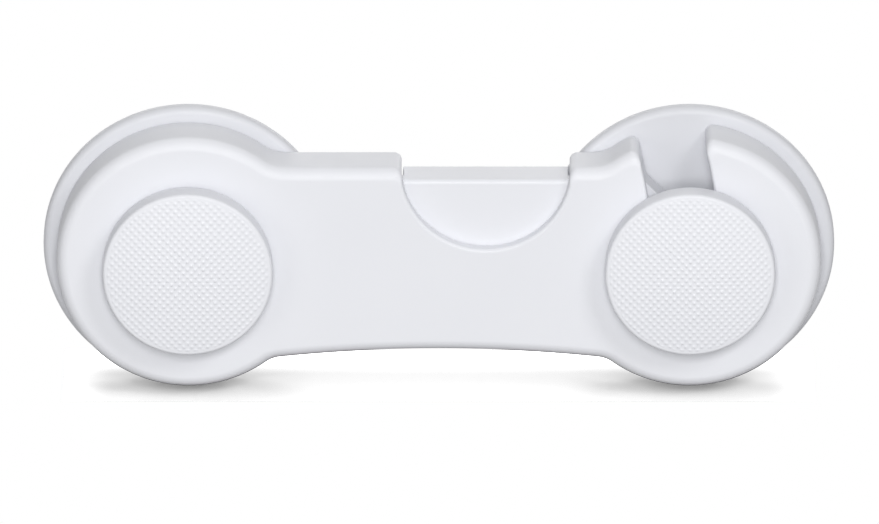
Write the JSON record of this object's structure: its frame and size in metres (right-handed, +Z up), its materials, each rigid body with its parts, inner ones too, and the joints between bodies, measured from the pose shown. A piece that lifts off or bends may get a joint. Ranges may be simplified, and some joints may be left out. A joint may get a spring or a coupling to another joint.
{
  "type": "cabinet safety lock",
  "caption": "White swing-bar cabinet safety lock: round adhesive bases with capped posts, a slotted bar that pivots on its base and latches over the catch, and a thumb release button.",
  "frame": {"origin": "centre of the pivot base's adhesive face, on the axis that the bar turns about", "axes": "+X along the closed bar to the catch, +Z up the doors, +Y into the doors, so the front faces -Y"},
  "size_m": [0.094, 0.0143, 0.0344],
  "materials": {
    "white_plastic": "satin moulded ABS, white",
    "adhesive_foam": "closed-cell adhesive foam, pale grey",
    "steel": "zinc-plated steel"
  },
  "bodies": {
    "bases": {"pivot_adhesive_pad": "adhesive_foam", "pivot_base": "white_plastic", "pivot_cap": "white_plastic", "pivot_cap_screw": "steel", "catch_adhesive_pad": "adhesive_foam", "catch_base": "white_plastic", "catch_cap": "white_plastic", "catch_cap_screw": "steel"},
    "bar": {"bar_shell": "white_plastic", "bar_rear_cover": "white_plastic", "cover_screws": "steel", "button_spring": "steel", "latch_spring": "steel"},
    "button": {"release_button": "white_plastic"},
    "latch": {"latch_bolt": "white_plastic"}
  },
  "joints": [
    {"name": "bar_swing", "type": "hinge", "parent": "bases", "child": "bar", "pos_m": [0, 0, 0], "axis": [0, 1, 0], "range_deg": [0, 90]},
    {"name": "button_press", "type": "slide", "parent": "bar", "child": "button", "axis": [0, 0, -1], "range_m": [0, 0.0036], "stiffness_N_per_m": 1500, "springref_m": -0.0012, "deforming": ["button_spring"]},
    {"name": "latch_retract", "type": "slide", "parent": "bar", "child": "latch", "axis": [-1, 0, 0], "range_m": [0, 0.0036], "deforming": ["latch_spring"]}
  ],
  "couplings": [
    {"joint": "latch_retract", "follows": "button_press", "ratio": 1}
  ]
}
